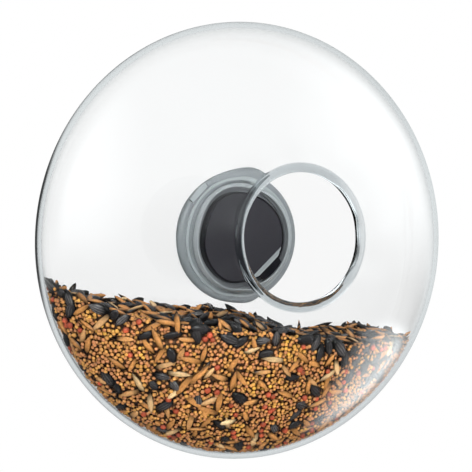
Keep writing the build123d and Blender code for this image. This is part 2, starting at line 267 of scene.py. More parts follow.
def middle_rings(globe, turns, on_back=26, on_shoulder=22, on_dome=84):
    """Middle of the wall as rings round the hub axis, closest at the hub hole and at the mouth.

    The rings widen on the flat back while their centre sinks to the globe's axis, go round the shoulder on a
    quarter of an ellipse, and narrow over the dome while their centre climbs to the mouth's middle. The dome's
    depth is the widest depth plus the dome's depth times the root of one less the squared share of the radius.
    """
    half = globe.wall / 2
    radius, back = globe.radius - half, globe.back_depth + half
    widest = globe.back_depth + globe.shoulder_depth
    start = globe.radius - globe.shoulder_width
    flat = globe.hub_circle + (start - globe.hub_circle) * np.linspace(0, 1, on_back) ** 2
    bend = np.linspace(0, math.pi / 2, on_shoulder)[1:]
    last = math.acos(globe.mouth_circle / radius)
    climb = last * (1 - (1 - np.linspace(0, 1, on_dome)[1:]) ** 1.6)
    ring = np.concatenate([flat, start + (radius - start) * np.sin(bend), radius * np.cos(climb)])
    sunk = -globe.drop * (flat - globe.hub_circle) / (start - globe.hub_circle)
    risen = (radius - radius * np.cos(climb)) / (radius - globe.mouth_circle) * (globe.mouth_rise + globe.drop)
    centre = np.concatenate([sunk, np.full(len(bend), -globe.drop), risen - globe.drop])
    shoulder = widest - (widest - back) * np.cos(bend)
    depth = np.concatenate([np.full(len(flat), back), shoulder, np.full(len(climb), widest)])
    turn = full_turn(turns)
    x = ring[:, None] * np.cos(turn)
    z = centre[:, None] + ring[:, None] * np.sin(turn)
    share = np.clip((x**2 + (z + globe.drop) ** 2) / radius**2, 0, 1)
    on_dome = np.arange(len(ring))[:, None] >= len(flat) + len(bend)
    y = -(depth[:, None] + np.where(on_dome, (globe.dome_depth - half) * np.sqrt(1 - share), 0))
    return np.stack([x, y, z], axis=-1), turn


def blown_wall(globe, turns=240, tip=9, power=8, bell=0.014, fade=0.03):
    """Outside and inside of the wall as one closed surface of rings, marked where the mouth's bead is.

    Each face is the middle moved along its normal by half the wall. Near a rim the half wall grows to the bead,
    by the eighth-power mean of the wall and the bead's circle, and half an ellipse closes the tip. Near the mouth
    the inside is thicker, by a bell curve of the distance to the rim, with ripples that are sines of the angle.
    The bell and the fading of the ripples are in metres.
    """
    middle, turn = middle_rings(globe, turns)
    along = unit(np.gradient(middle, axis=0))
    around = np.roll(middle, -1, axis=1) - np.roll(middle, 1, axis=1)
    normal = unit(np.cross(around, along))
    steps = np.linalg.norm(np.diff(middle, axis=0), axis=2).mean(axis=1)
    run = np.concatenate([[0], np.cumsum(steps)])
    to_mouth, from_hub = (run[-1] - run)[:, None], run[:, None]
    bead = np.sqrt(np.clip(globe.mouth_bead**2 - to_mouth**2, 0, None))
    bead = bead + np.sqrt(np.clip(globe.hub_bead**2 - from_hub**2, 0, None))
    growth = globe.lip_growth * np.exp(-(to_mouth / bell) ** 2)
    waves = sum(strength * np.sin(round_mouth * turn + start + twist * to_mouth)
                for strength, round_mouth, start, twist in RIPPLES)
    ripples = globe.ripple * waves * np.exp(-to_mouth / fade)
    outer = ((globe.wall / 2) ** power + bead**power) ** (1 / power) + np.zeros_like(turn)
    inner = ((globe.wall / 2 + growth + ripples) ** power + bead**power) ** (1 / power)
    angles = np.linspace(0, math.pi, tip + 2)[1:-1, None, None]
    tips = []
    for end, sign, radius in ((-1, 1, globe.mouth_bead), (0, -1, globe.hub_bead)):
        out, on = sign * np.cos(angles), sign * np.sin(angles)
        side = np.where(out > 0, outer[end][None, :, None], inner[end][None, :, None])
        tips.append(middle[end] + out * side * normal[end] + on * radius * along[end])
    outside, inside = middle + outer[..., None] * normal, middle - inner[..., None] * normal
    rows = np.concatenate([outside, tips[0], inside[::-1], tips[1]])
    # Mask of the mouth's bead, which the glass uses for its painted grey
    share = np.clip((1.05 * globe.mouth_bead - to_mouth[:, 0]) / (0.25 * globe.mouth_bead), 0, 1)
    rim = np.concatenate([share, np.ones(tip), share[::-1], np.zeros(tip)])
    return rows.reshape(-1, 3), ring_faces(len(rows), turns, closed=True), None, {"rim": np.repeat(rim, turns)}


def blown_soda_lime_glass(globe):
    """Mouth-blown soda-lime glass, fire-polished at its rims.

    Clear and very smooth, with a faint grey-green that shows only where the eye looks along the wall, so the
    outline is darker than the middle. The bead round the mouth is painted a light grey, as painted shade.
    Lamps shine through the glass onto the seed.
    """
    material, add = blank(bpy.data.materials.new("blown_soda_lime_glass"))
    path = add("LightPath")
    rim = add("Attribute", attribute_name="rim", attribute_type="GEOMETRY").outputs["Fac"]
    # Painted shade: the mouth's bead lets through a light grey instead of white
    tone = add("Mix", {0: rim, 6: (1, 1, 1, 1), 7: (*globe.rim_painted_grey, 1)}, data_type="RGBA")
    glass = add("BsdfPrincipled", {
        "Base Color": tone.outputs[2], "Roughness": 0.0, "IOR": 1.5, "Transmission Weight": 1.0,
    })
    passing = add("BsdfTransparent", {"Color": (0.93, 0.95, 0.945, 1)})
    both = add("MixShader", (path.outputs["Is Shadow Ray"], glass, passing))
    body = add("VolumeAbsorption", {"Color": (*globe.colour, 1), "Density": globe.density})
    add("OutputMaterial", {"Surface": both, "Volume": body})
    return material


# Places for the seed

# Low mounds along the heap, in millimetres from left to right, and how high each stands
MOUND_PLACES = np.array([-121, -91, -73, -51, -29, -2, 30, 76, 100, 121]) * MM
MOUND_HEIGHTS = np.array([0, -5, -3, -4, -1, 1, -3, 4, 3, 0]) * MM
UPWARD = np.array([0.19, -0.08, 0.98])  # square to the heap's top


def heap_top(seeds, globe, x, depth):
    """Height of the heap: a plane that falls to the right and the front, with low mounds along it."""
    widest = globe.back_depth + globe.shoulder_depth
    mounds = np.interp(x, MOUND_PLACES, MOUND_HEIGHTS)
    slope = x * math.tan(seeds.fall_right) + (depth - widest) * math.tan(seeds.fall_front)
    return seeds.level - slope + mounds


def inside_profile(globe, inset, spacing, fine=400):
    """Outline of the globe's inside from the middle of the back to the front, at even steps of its length.

    It is straight at the back, then a quarter of an ellipse round the shoulder and one over the dome, moved in by
    the inset. Returns distance from the axis, depth, and the outward normal's two parts.
    """
    widest = globe.back_depth + globe.shoulder_depth
    start = globe.radius - globe.shoulder_width
    quarter = np.linspace(0, math.pi / 2, fine)
    flat = np.linspace(0, start, fine, endpoint=False)
    far = np.concatenate([
        flat,
        start + (globe.shoulder_width - inset) * np.sin(quarter),
        (globe.radius - inset) * np.cos(quarter[1:]),
    ])
    deep = np.concatenate([
        np.full(len(flat), globe.back_depth + inset),
        widest - (globe.shoulder_depth - inset) * np.cos(quarter),
        widest + (globe.dome_depth - inset) * np.sin(quarter[1:]),
    ])
    run = np.concatenate([[0], np.cumsum(np.hypot(np.diff(far), np.diff(deep)))])
    at = np.arange(spacing / 2, run[-1], spacing)
    rho, depth = np.interp(at, run, far), np.interp(at, run, deep)
    along = unit(np.stack([np.interp(at, run, np.gradient(way, run)) for way in (far, deep)], axis=1))
    return rho, depth, along[:, 1], -along[:, 0]


def wall_places(globe, seeds, size, inset, pitch, below, random, row_share=0.87, jitter=0.3):
    """Places against the glass, in rows round the axis, each jittered by under half its pitch.

    The inset and the pitch are shares of the size. Returns the points, the normals towards the glass and how far
    each lies under the heap's top.
    """
    pitch = pitch * size
    rho, depth, out, back = inside_profile(globe, globe.wall + seeds.gap + inset * size, pitch * row_share)
    counts = np.maximum(1, (2 * math.pi * rho / pitch).astype(int))
    row = np.repeat(np.arange(len(counts)), counts)
    place = np.arange(counts.sum()) - np.repeat(np.cumsum(counts) - counts, counts)
    shift = random.uniform(-jitter, jitter, len(row))
    turn = 2 * math.pi * (place + shift + random.uniform(0, 1, len(counts))[row]) / counts[row]
    none = np.zeros(len(turn))
    radial = np.stack([np.cos(turn), none, np.sin(turn)], axis=1)
    normal = out[row, None] * radial - back[row, None] * np.array([0, 1, 0])
    points = rho[row, None] * radial - np.stack([none, depth[row], none + globe.drop], axis=1)
    across = np.stack([-np.sin(turn), none, np.cos(turn)], axis=1)
    slide = np.cross(across, normal)
    points += slide * random.uniform(-jitter, jitter, (len(row), 1)) * pitch
    under = heap_top(seeds, globe, points[:, 0], -points[:, 1]) - points[:, 2]
    keep = under > below
    return points[keep], normal[keep], under[keep]


def top_places(globe, seeds, size, inset, pitch, random, lean=0.0, jitter=0.4):
    """Places on the heap's top, on a jittered square lattice inside the glass; their normals lean at random."""
    inset, pitch = globe.wall + seeds.gap + inset * size, pitch * size
    reach = np.arange(-globe.radius, globe.radius, pitch)
    x, depth = np.meshgrid(reach, np.arange(0, globe.back_depth + globe.shoulder_depth + globe.dome_depth, pitch))
    x = (x + random.uniform(-jitter, jitter, x.shape) * pitch).ravel()
    depth = (depth + random.uniform(-jitter, jitter, depth.shape) * pitch).ravel()
    points = np.stack([x, -depth, heap_top(seeds, globe, x, depth)], axis=1)
    points = points[glass_share(globe, points, inset) < 1]
    return points, UPWARD + random.normal(0, lean, points.shape)


def glass_share(globe, points, inset):
    """Under one inside the globe's outline moved in by the inset, one on it.

    It is the sum of the squared shares, of the dome's ellipse in front and of the shoulder's behind.
    """
    widest = globe.back_depth + globe.shoulder_depth
    start = globe.radius - globe.shoulder_width
    rho = np.hypot(points[..., 0], points[..., 2] + globe.drop)
    depth = -points[..., 1]
    front = (rho / (globe.radius - inset)) ** 2 + ((depth - widest) / (globe.dome_depth - inset)) ** 2
    rear = (np.clip(rho - start, 0, None) / (globe.shoulder_width - inset)) ** 2
    rear = rear + ((widest - depth) / (globe.shoulder_depth - inset)) ** 2
    return np.where(depth > widest, front, rear)


def some(places, share, random):
    """A share of the places, taken at random; the share may differ from place to place."""
    chosen = random.uniform(0, 1, len(places[0])) < share
    return places[0][chosen], places[1][chosen]


def clear_of(points, centres, axes, half_length, half_width, batch=150):
    """True for the points outside every ellipsoid round the given centres, long along their axes."""
    free = np.ones(len(points), bool)
    for start in range(0, len(centres), batch):
        away = points[:, None, :] - centres[None, start:start + batch, :]
        along = np.einsum("nmc,mc->nm", away, axes[start:start + batch])
        across = (away**2).sum(axis=2) - along**2
        free &= ((along / half_length) ** 2 + across / half_width**2 > 1).all(axis=1)
    return free


# Grains

def grain_shape(lengths, turns, width, thickness, radii=None, crease=0.0):
    """A closed grain along x: rings of the given radii between two poles, or of a ball's where none are given.

    Each ring is an ellipse of the width and thickness, pulled in on one side by the crease. The points' marks are
    the place along the grain and the cosine of the turn.
    """
    lengths = np.array(lengths)
    radii = np.sqrt(1 - (lengths[1:-1] / 0.5) ** 2) if radii is None else np.array(radii)
    turn = full_turn(turns)
    pull = 1 - crease * np.exp(-(((turn - math.pi / 2 + math.pi) % (2 * math.pi) - math.pi) / 0.5) ** 2)
    x = np.repeat(lengths[1:-1], turns).reshape(-1, turns)
    y = radii[:, None] * width / 2 * np.cos(turn)
    z = radii[:, None] * thickness / 2 * np.sin(turn) * pull
    points = np.stack([x, y, z], axis=-1).reshape(-1, 3)
    points = np.concatenate([points, [[lengths[0], 0, 0], [lengths[-1], 0, 0]]])
    place = points[:, 0] / (lengths[-1] - lengths[0]) + 0.5
    marks = np.stack([place, np.concatenate([np.tile(np.cos(turn), len(radii)), [0, 0]])], axis=1)
    return points, ring_faces(len(radii), turns, closed=False), pole_faces(len(radii), turns), marks


def grain_material(name, first, second, roughness, shade, stripe=0.0):
    """A seed's skin: its colour runs between two by the grain's own tone, darker to its ends by the shade.

    The side towards the glass is painted paler, as a painted highlight, and the side away from it, in the gaps
    between the grains, is painted dark, as painted shade.
    """
    material, add = blank(bpy.data.materials.new(name))
    marks = add("Attribute", attribute_name="grain", attribute_type="GEOMETRY")
    front = add("Attribute", attribute_name="facing", attribute_type="GEOMETRY")
    tone, along, turn = add("SeparateXYZ", (marks.outputs["Vector"],)).outputs
    place = add("TexCoord")
    # Mottling of about 0.8 mm, the size of the blotches on a dry seed's skin
    blotch = add("TexNoise", {"Vector": place.outputs["Object"], "Scale": 1200, "Detail": 3})
    base = add("Mix", {0: tone, 6: (*first, 1), 7: (*second, 1)}, data_type="RGBA")
    # The last quarter at both ends goes over into a dark brown
    ends = add("MapRange", (along, 0.5, 1.0, 0.0, shade))
    dark = add("Mix", {0: ends, 6: base.outputs[2], 7: (0.12, 0.06, 0.03, 1)}, data_type="RGBA")
    # Pale grey stripes, strongest on the palest grains
    lines = add("Math", (turn, 14.0), operation="MULTIPLY")
    wave = add("Math", (lines,), operation="SINE")
    band = add("MapRange", (wave, 0.4, 1.0, 0.0, stripe))
    striped = add("Math", (band, tone), operation="MULTIPLY")
    lined = add("Mix", {0: striped, 6: dark.outputs[2], 7: (0.42, 0.40, 0.36, 1)}, data_type="RGBA")
    mottle = add("MapRange", (blotch, 0.3, 0.7, 0.75, 1.15))
    # Painted light and shade: paler towards the glass and dark in the gaps between the grains, by how far each point
    # lies towards the glass
    gap = add("MapRange", (front.outputs["Fac"], -0.1, 1.0, 0.02, 1.4), **SMOOTH)
    level = add("Math", (mottle, gap), operation="MULTIPLY")
    colour = add("VectorMath", (lined.outputs[2], level), operation="MULTIPLY")
    bump = add("Bump", {"Height": blotch, "Strength": 0.3, "Distance": 0.0002})
    skin = add("BsdfPrincipled", {"Base Color": colour, "Roughness": roughness, "IOR": 1.5, "Normal": bump})
    add("OutputMaterial", (skin,))
    return material


# Seed

LAID = []  # the room of the seed laid so far: middles, long axes, half length and half width of each kind


def lay(context, name, shape, places, sizes, tones, tilt, reach, breadth, skin, random, past=None,
        tries=8, inward=0.35):
    """Lays one kind of seed, as one mesh, where it is clear of what was laid before, and notes its own room.

    Each grain is turned at random about its normal, tilted and scaled. One that pokes through the glass is moved
    in by small steps of millimetres, and is left out if it still does. Each point is marked with how far it lies
    towards the glass, from -1 to 1. A seed's room is an ellipsoid of the given half length and half width. Past
    limits how much of what was laid before counts.
    """
    points, normals = places
    for room in LAID[:past]:
        free = clear_of(points, *room)
        points, normals, sizes, tones = points[free], normals[free], sizes[free], tones[free]
    globe = context.scene.feeder_globe
    wall = globe.wall + context.scene.feeder_seed.gap / 2
    base, quads, triangles, marks = shape
    leant = unit(normals + random.normal(0, tilt, normals.shape))
    axes = unit(np.cross(leant, random.normal(0, 1, normals.shape)))
    frames = np.stack([axes, np.cross(leant, axes), leant], axis=1) * sizes[:, None, None]
    placed = np.einsum("pk,nkc->npc", base, frames)
    # How far each point lies towards the glass, which the skins turn into painted light and shade
    facing = np.einsum("npc,nc->np", placed, normals) / (sizes[:, None] * np.abs(base[:, 2]).max())
    placed = placed + points[:, None, :]
    for _ in range(tries):
        outside = (glass_share(globe, placed, wall) > 1).any(axis=1)
        step = outside[:, None] * normals * inward * MM
        placed, points = placed - step[:, None, :], points - step
    inside = (glass_share(globe, placed, wall) < 1).all(axis=1)
    placed, points, axes, tones, facing = (item[inside] for item in (placed, points, axes, tones, facing))
    shift = (np.arange(len(points)) * len(base))[:, None, None]
    grain = np.concatenate([
        np.repeat(tones[:, None, None], len(base), axis=1),
        np.broadcast_to(marks[None], (len(points), *marks.shape)),
    ], axis=2)
    piece = surface_mesh(
        name, skin, placed.reshape(-1, 3), (quads[None] + shift).reshape(-1, 4),
        (triangles[None] + shift).reshape(-1, 3), {"grain": grain.reshape(-1, 3), "facing": facing.ravel()},
    )
    LAID.append((points, axes, reach, breadth))
    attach(piece, "globe")
    return piece


def lay_long(context, random, name, size, shape, skin, *, inset, pitch, sink, shares, rest,
             top_inset, top_pitch, lean, top_share, fade, tilt, breadth):
    """Lays one long seed against the glass, thickest near the heap's top, and over the top itself.

    Insets, pitches and breadth are shares of the seed's length. Sink is how far a seed may lie behind the
    outermost, in millimetres. Each share is a depth under the top, in millimetres, and the part of the places
    taken down to it; the rest is the part below. A higher fade makes pale seeds rarer.
    """
    globe, seeds = context.scene.feeder_globe, context.scene.feeder_seed
    points, normals, under = wall_places(globe, seeds, size, inset, pitch, 0.0, random)
    points = points - normals * (random.uniform(0, 1, (len(points), 1)) ** 2 * sink * MM)
    chance = np.select([under < deep * MM for deep, share in shares], [share for deep, share in shares], rest)
    top = some(top_places(globe, seeds, size, top_inset, top_pitch, random, lean), top_share, random)
    places = [np.concatenate(both) for both in zip(some((points, normals), chance, random), top)]
    count = len(places[0])
    sizes = size * random.uniform(0.75, 1.1, count)
    tones = random.uniform(0, 1, count) ** fade
    piece = lay(context, name, shape, places, sizes, tones, tilt, 0.46 * size, breadth * size, skin, random)
    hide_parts("husk_layer")


def heap_core(globe, seeds, inset, lower, rings=60, turns=120, halvings=30):
    """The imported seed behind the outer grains, closed round one point in the heap.

    Along each direction from that point the surface lies where it first meets the glass moved in by the inset, or
    the heap's top lowered; both are found by halving.
    """
    centre = np.array([0, -globe.back_depth - globe.shoulder_depth, -0.085])
    polar = np.linspace(0, math.pi, rings + 2)[1:-1]
    ways = np.concatenate([level_rings(np.sin(polar), np.cos(polar), turns), [[0, 0, 1], [0, 0, -1]]])
    low, high = np.zeros(len(ways)), np.full(len(ways), 0.3)
    for _ in range(halvings):
        middle = (low + high) / 2
        at = centre + ways * middle[:, None]
        top = heap_top(seeds, globe, at[:, 0], -at[:, 1]) - lower
        free = (glass_share(globe, at, inset) < 1) & (at[:, 2] < top)
        low, high = np.where(free, middle, low), np.where(free, high, middle)
    points = centre + ways * low[:, None]
    return points, ring_faces(rings, turns, closed=False)[:, ::-1], pole_faces(rings, turns)[:, [0, 2, 1]]


def packed_seed(seeds):
    """Seed in the shade behind the outer grains: cells of millet size in the grains' colours, painted dark as painted
    shade, darkest between them.
    """
    material, add = blank(bpy.data.materials.new("packed_seed"))
    place = add("TexCoord")
    cells = add("TexVoronoi", {"Vector": place.outputs["Object"], "Scale": 1 / seeds.millet})
    tone = add("SeparateXYZ", (cells.outputs["Color"],))
    base = add("Mix", {0: tone, 6: (*seeds.millet_tan, 1), 7: (*seeds.oat_hull, 1)}, data_type="RGBA")
    # Painted shade: each cell is painted dark, darkest towards its edge
    shade = add("MapRange", (cells.outputs["Distance"], 0.2, 0.8, 0.3, 0.04))
    colour = add("VectorMath", (base.outputs[2], shade), operation="MULTIPLY")
    skin = add("BsdfPrincipled", {"Base Color": colour, "Roughness": 0.8})
    add("OutputMaterial", (skin,))
    return material


# Suction cup

def softened(profile, closed, near=0.08 * MM, far=0.25 * MM):
    """A cross-section with four points for each corner, close on both sides, so that only the edge is round.

    They lie at fixed small distances along the lines to the corners before and after. The ends of an open profile
    stay single.
    """
    corners = profile if closed else profile[1:-1]
    before = np.roll(profile, 1, axis=0) if closed else profile[:-2]
    after = np.roll(profile, -1, axis=0) if closed else profile[2:]
    back, on = unit(before - corners), unit(after - corners)
    steps = [corners + back * far, corners + back * near, corners + on * near, corners + on * far]
    soft = np.stack(steps, axis=1).reshape(-1, 2)
    return soft if closed else np.concatenate([profile[:1], soft, profile[-1:]])


def turned(profile, closed, turns=120):
    """A cross-section of radius and depth carried round the hub's axis; an open one starts and ends on the axis."""
    section = softened(np.array(profile), closed)
    rings = section if closed else section[1:-1]
    rows = level_rings(rings[:, 0], -rings[:, 1], turns)[:, [0, 2, 1]]
    if closed:
        return rows, ring_faces(len(rings), turns, closed=True)
    poles = np.array([[0, -section[0, 1], 0], [0, -section[-1, 1], 0]])
    quads = ring_faces(len(rings), turns, closed=False)
    return np.concatenate([rows, poles]), quads, pole_faces(len(rings), turns)


def release_tab(cup, steps=16, short=0.02 * MM):
    """The tab as a cross-section carried along its width and turned to the tab's angle.

    At each place across, the section is a rectangle from the tab's inner edge to just short of the cup's edge
    circle, whose distance is the root of the squared radius less the squared place.
    """
    across = np.linspace(-cup.tab_width / 2, cup.tab_width / 2, steps)
    ones = np.ones(steps)
    inner, root = (cup.radius - cup.tab_length) * ones, cup.rim / 2 * ones
    outer, front = np.sqrt((cup.radius - short) ** 2 - across**2), cup.tab_front * ones
    far = np.stack([inner, outer, outer, inner], axis=1)
    deep = np.stack([root, root, front, front], axis=1)
    side = np.repeat(across[:, None], 4, axis=1)
    cos, sin = math.cos(cup.tab_angle), math.sin(cup.tab_angle)
    rows = np.stack([far * cos - side * sin, -deep, far * sin + side * cos], axis=-1).reshape(-1, 3)
    ends = np.array([[3, 2, 1, 0], [0, 1, 2, 3]]) + np.array([[0], [4 * (steps - 1)]])
    return rows, np.concatenate([ring_faces(steps, 4, closed=False)[:, ::-1], ends[:, ::-1]])


# Moulded and turned finishes: the colour's setting, the roughness, the grain and its relief in millimetres, how
# cloudy the colour is, 1 for metal, and the CAD pieces that have the finish

FINISHES = {
    # Moulded silicone: smooth, a little cloudy, with a broad soft gloss
    "moulded_silicone_cup": ("cup", 0.42, 0.5, 0.01, 0.05, 0),
    "moulded_silicone": ("cup", 0.42, 0.5, 0.01, 0.05, 0, "seat_gasket"),
    "moulded_silicone_lip": ("lip", 0.42, 0.5, 0.01, 0.04, 0, "hub_sleeve"),
    "moulded_silicone_strip": ("lip", 0.42, 0.5, 0.01, 0.03, 0, "grip_strip"),
    # Moulded ABS, satin from a blasted mould
    "satin_abs": ("housing", 0.38, 0.35, 0.012, 0.03, 0, "mount_housing"),
    # Moulded ABS with a spark-eroded texture of about 0.3 mm, so it is matt with a very fine grain
    "textured_abs": ("cover", 0.5, 0.3, 0.02, 0.04, 0, "knob_cap"),
    # Moulded ABS from a polished mould: nearly black with a sharp gloss
    "polished_abs": ("knob", 0.2, 0.4, 0.003, 0.02, 0, "knob_body"),
    # Turned metal: bright, with fine tool marks that blur its gloss a little
    "turned_stainless_steel": ("steel", 0.28, 0.15, 0.004, 0.06, 1, "draw_stud", "end_clip", "nut_screws"),
    "turned_brass": ("brass", 0.3, 0.15, 0.004, 0.06, 1, "draw_nut"),
    # Moulded acetal: milky white and waxy
    "moulded_acetal": ("acetal", 0.35, 0.4, 0.006, 0.06, 0, "stud_guide", "thrust_washer"),
}


def finish(context, name):
    """A plain finish: one colour with slight cloudiness, and a fine relief of the given grain and height."""
    colour, roughness, grain_mm, relief_mm, cloudy, metallic = FINISHES[name][:6]
    material, add = blank(bpy.data.materials.new(name))
    place = add("TexCoord").outputs["Object"]
    grain = add("TexNoise", {"Vector": place, "Scale": 1000 / grain_mm, "Detail": 2})
    cloud = add("TexNoise", {"Vector": place, "Scale": 60, "Detail": 3})
    level = add("MapRange", (cloud, 0.3, 0.7, 1 - cloudy, 1 + cloudy))
    colour = (*getattr(context.scene.feeder_finish, colour),)
    tone = add("VectorMath", (colour, level), operation="MULTIPLY")
    gloss = add("MapRange", (grain, 0.3, 0.7, roughness - 0.05, roughness + 0.05))
    bump = add("Bump", {"Height": grain, "Strength": 1.0, "Distance": relief_mm * MM})
    skin = add("BsdfPrincipled", {"Base Color": tone, "Roughness": gloss, "Metallic": metallic, "Normal": bump})
    add("OutputMaterial", (skin,))
    return material


# Floor and light

# Square lamps: name, place and size in metres, and watts
LAMPS = (
    ("key_light", (-1.1, -1.15, -0.25), 0.5, 2.2),
    ("fill_light", (1.3, -0.9, 0.3), 0.8, 3.8),
    ("low_light", (0.15, -0.9, -0.3), 0.4, 3.9),
    ("back_light", (0.5, 1.4, 1.2), 1.0, 3.5),
)

# The way that the camera looks, kept level, and the way to the low softbox
STUDIO_WAYS = (("ahead", (0.426, 0.905, 0)), ("softbox_way", (0.90, 0.05, -0.43)))

# The studio's brightness in steps. A ramp follows its first entry, and between its second and third it goes from its
# fourth to its fifth. A mix goes from its second entry to its third by the share in its first. X, Y and Z are the
# way of the light.
STUDIO = (
    # In front: dark below, bright above and to both sides
    ("in_front", "RAMP", "Y", -0.1, 0.3, 1, 0),
    ("ceiling", "RAMP", "Z", -0.1, 0.4, 0.03, 0.85),
    ("aside", "ABSOLUTE", "X"),
    ("panes", "RAMP", "aside", 0.35, 0.95, 0, 1.1),
    ("sill", "RAMP", "Z", -0.25, 0.1, 0, 1),
    ("panes", "MULTIPLY", "panes", "sill"),
    ("front", "ADD", "ceiling", "panes"),
    # Behind, mirrored by the outside of the wall: dark to the left, paler to the right, above and below
    ("steep", "ABSOLUTE", "Z"),
    ("level_edge", "RAMP", "X", 0.4, 0.6, 0.06, 0.75),
    ("upright", "RAMP", "steep", 0.1, 0.4, 0, 1),
    ("edge", "MIX", "upright", "level_edge", 0.5),
    # Behind, led along inside the wall: light grey, with a narrow dark flag at the left
    ("flag_start", "RAMP", "X", -0.2, -0.06, 0, 1),
    ("flag_end", "RAMP", "X", 0.36, 0.44, 1, 0),
    ("flag_height", "RAMP", "steep", 0.1, 0.22, 1, 0),
    ("flag", "MULTIPLY", "flag_start", "flag_end"),
    ("flag", "MULTIPLY", "flag", "flag_height"),
    ("led", "MIX", "flag", 0.82, 0.05),
    # The room is dark low down, off the line from the camera
    ("off_line", "RAMP", "ahead", 0.52, 0.66, 1, 0),
    ("low", "RAMP", "Z", -0.3, -0.1, 1, 0),
    ("shade", "MULTIPLY", "off_line", "low"),
    ("edge", "MIX", "shade", "edge", 0.05),
    ("led", "MIX", "shade", "led", 0.05),
    # The low softbox at the right
    ("softbox", "RAMP", "softbox_way", 0.84, 0.985, 0, 3.2),
    ("box_end", "RAMP", "Y", 0.05, 0.33, 1, 0),
    ("box_top", "RAMP", "Z", -0.44, -0.33, 1, 0),
    ("softbox", "MULTIPLY", "softbox", "box_end"),
    ("softbox", "MULTIPLY", "softbox", "box_top"),
    # Mirrored outside or led along the wall, by how often the light has gone into or out of glass
    ("entered", "GREATER_THAN", "Transmission Depth", 0.5),
    ("behind", "MIX", "entered", "edge", "led"),
    ("around", "MIX", "in_front", "behind", "front"),
    ("lit", "ADD", "around", "softbox"),
    # Mirrored inside the globe, behind the front wall, and at last behind the rear wall
    ("crossed", "GREATER_THAN", "Transmission Depth", 2.5),
    ("inside", "RAMP", "Z", -0.5, 0.3, 0.03, 0.5),
    ("room", "MIX", "crossed", "lit", "inside"),
    ("rear_wall", "GREATER_THAN", "Transmission Depth", 5.5),
    ("room", "MIX", "rear_wall", "room", 1.1),
    # White through the glass, a soft level on everything matt, and white for the camera
    ("mirrored", "GREATER_THAN", "Glossy Depth", 0.5),
    ("through", "MIX", "mirrored", 1.0, "room"),
    ("seen", "MAXIMUM", "Is Glossy Ray", "Is Transmission Ray"),
    ("soft", "MIX", "seen", 0.26, "through"),
    ("level", "MIX", "Is Camera Ray", "soft", 1.0),
)


def studio_world(scene):
    """White behind everything and through the glass, and a soft light level for everything else.

    What the glass has mirrored, or led along inside its wall, meets the room of the table above instead.
    """
    scene.world, add = blank(bpy.data.worlds.new("studio"))
    way = add("TexCoord").outputs["Generated"]
    sources = add("LightPath"), add("SeparateXYZ", (way,))
    known = {socket.name: socket for source in sources for socket in source.outputs}
    for name, line in STUDIO_WAYS:
        known[name] = add("VectorMath", (way, line), operation="DOT_PRODUCT").outputs["Value"]
    for name, kind, *entries in STUDIO:
        entries = [known.get(entry, entry) for entry in entries]
        if kind == "RAMP":
            known[name] = add("MapRange", entries, **SMOOTH)
        elif kind == "MIX":
            known[name] = add("Mix", dict(zip((0, 2, 3), entries)))
        else:
            known[name] = add("Math", entries, operation=kind)
    # Glass mirrors a slightly cool room
    cool = add("Mix", {0: known["mirrored"], 6: (1, 1, 1, 1), 7: (0.94, 0.985, 1.0, 1)}, data_type="RGBA")
    light = add("Background", (cool.outputs[2], known["level"]))
    add("OutputWorld", (light,))


def pale_floor():
    """A pale matt floor that takes the feeder's shadow and goes over into the white backdrop.

    Seen by the camera or through the glass it is half white near the feeder and all white further out.
    """
    material, add = blank(bpy.data.materials.new("pale_floor"))
    place = add("TexCoord")
    path = add("LightPath")
    away = add("VectorMath", (place.outputs["Object"], (1, 1, 0)), operation="MULTIPLY")
    reach = add("VectorMath", (away,), operation="LENGTH")
    fade = add("MapRange", (reach.outputs["Value"], 0.25, 0.6, 0.5, 1), **SMOOTH)
    rays = path.outputs["Is Camera Ray"], path.outputs["Is Transmission Ray"]
    seen = add("Math", rays, operation="MAXIMUM")
    share = add("Math", (seen, fade), operation="MULTIPLY")
    paint = add("BsdfDiffuse", {"Color": (0.86, 0.86, 0.86, 1)})
    white = add("Emission", {"Color": (1, 1, 1, 1), "Strength": 1.0})
    both = add("MixShader", (share, paint, white))
    # Light that the glass has mirrored goes on to the room, so no floor shows in the globe
    mirrored = add("Math", (path.outputs["Glossy Depth"], 0.5), operation="GREATER_THAN")
    clear = add("BsdfTransparent")
    final = add("MixShader", (mirrored, both, clear))
    add("OutputMaterial", (final,))
    return material


def round_floor(stage, nearest=0.02, furthest=3.0, turns=96, rings=24):
    """A round level floor under the feeder: rings at even steps of metres, and a fan in the middle."""
    rows = level_rings(np.linspace(nearest, furthest, rings), np.full(rings, stage.floor), turns)
    points = np.concatenate([rows, [[0, 0, stage.floor]]])
    middle = pole_faces(rings, turns)[:turns, [0, 2, 1]]
    return points, ring_faces(rings, turns, closed=False)[:, ::-1], middle


def at_hub(place):
    """Turns a camera or lamp at a place to look at the hub."""
    return (-Vector(place)).to_track_quat("-Z", "Y").to_euler()


# Steps of the build

